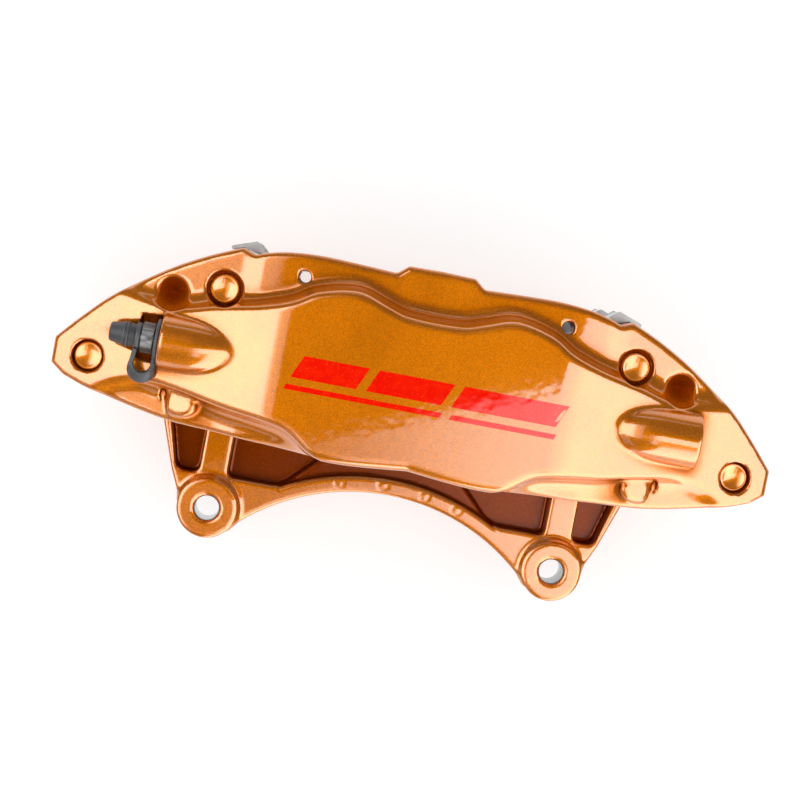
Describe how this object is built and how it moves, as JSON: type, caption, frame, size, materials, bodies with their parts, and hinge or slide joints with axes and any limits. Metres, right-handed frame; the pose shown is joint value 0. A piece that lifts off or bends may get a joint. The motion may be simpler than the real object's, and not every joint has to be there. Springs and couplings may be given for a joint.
{
  "type": "brake caliper",
  "caption": "Two-piece fixed brake caliper with opposed pistons, bridge bolts, bleed screws and lugs for bolting to a hub carrier.",
  "frame": {"origin": "midway between the two mounting holes, on the inboard mounting face of the lugs", "axes": "+X along the caliper towards the end without bleed screws, +Y inboard along the rotor axis, +Z away from the rotor's centre"},
  "size_m": [0.294, 0.128, 0.1336],
  "materials": {
    "gold_paint": "metallic gold with gloss clearcoat",
    "painted_bolt": "gold paint over machined steel",
    "piston_alloy": "hard anodised, ground",
    "seal_rubber": "matte",
    "cap_rubber": "matte, slightly dusty",
    "black_steel": "black zinc",
    "plate_steel": "bright stainless sheet"
  },
  "bodies": {
    "caliper_body": {"outer_half": "gold_paint", "inner_half": "gold_paint", "end_bridge_bolts": "painted_bolt", "upper_bridge_bolts": "painted_bolt", "crossover_o_ring": "seal_rubber", "abutment_plate_screws": "plate_steel", "piston_seal_outer_left": "seal_rubber", "dust_boot_outer_left": "seal_rubber", "abutment_plate_outer_left": "plate_steel", "piston_seal_outer_right": "seal_rubber", "dust_boot_outer_right": "seal_rubber", "abutment_plate_outer_right": "plate_steel", "cap_tether_outer": "cap_rubber", "piston_seal_inner_left": "seal_rubber", "dust_boot_inner_left": "seal_rubber", "abutment_plate_inner_left": "plate_steel", "piston_seal_inner_right": "seal_rubber", "dust_boot_inner_right": "seal_rubber", "abutment_plate_inner_right": "plate_steel", "cap_tether_inner": "cap_rubber"},
    "piston_outer_left": {"piston_outer_left": "piston_alloy"},
    "piston_outer_right": {"piston_outer_right": "piston_alloy"},
    "piston_inner_left": {"piston_inner_left": "piston_alloy"},
    "piston_inner_right": {"piston_inner_right": "piston_alloy"},
    "bleed_screw_outer": {"bleed_screw_outer": "black_steel"},
    "bleed_screw_inner": {"bleed_screw_inner": "black_steel"},
    "bleed_cap_outer": {"bleed_cap_outer": "cap_rubber"},
    "bleed_cap_inner": {"bleed_cap_inner": "cap_rubber"}
  },
  "joints": [
    {"name": "piston_outer_left_slide", "type": "slide", "parent": "caliper_body", "child": "piston_outer_left", "axis": [0, 1, 0], "range_m": [0, 0.013]},
    {"name": "piston_outer_right_slide", "type": "slide", "parent": "caliper_body", "child": "piston_outer_right", "axis": [0, 1, 0], "range_m": [0, 0.013]},
    {"name": "piston_inner_left_slide", "type": "slide", "parent": "caliper_body", "child": "piston_inner_left", "axis": [0, -1, 0], "range_m": [0, 0.013]},
    {"name": "piston_inner_right_slide", "type": "slide", "parent": "caliper_body", "child": "piston_inner_right", "axis": [0, -1, 0], "range_m": [0, 0.013]},
    {"name": "bleed_screw_outer_turn", "type": "hinge", "parent": "caliper_body", "child": "bleed_screw_outer", "pos_m": [-0.105, -0.0965, 0.0725], "axis": [-1, 0, 0], "range_deg": [0, 180]},
    {"name": "bleed_cap_outer_pull", "type": "slide", "parent": "caliper_body", "child": "bleed_cap_outer", "axis": [-1, 0, 0], "range_m": [0, 0.012]},
    {"name": "bleed_screw_inner_turn", "type": "hinge", "parent": "caliper_body", "child": "bleed_screw_inner", "pos_m": [-0.093, 0.0065, 0.0725], "axis": [-1, 0, 0], "range_deg": [0, 180]},
    {"name": "bleed_cap_inner_pull", "type": "slide", "parent": "caliper_body", "child": "bleed_cap_inner", "axis": [-1, 0, 0], "range_m": [0, 0.012]}
  ]
}
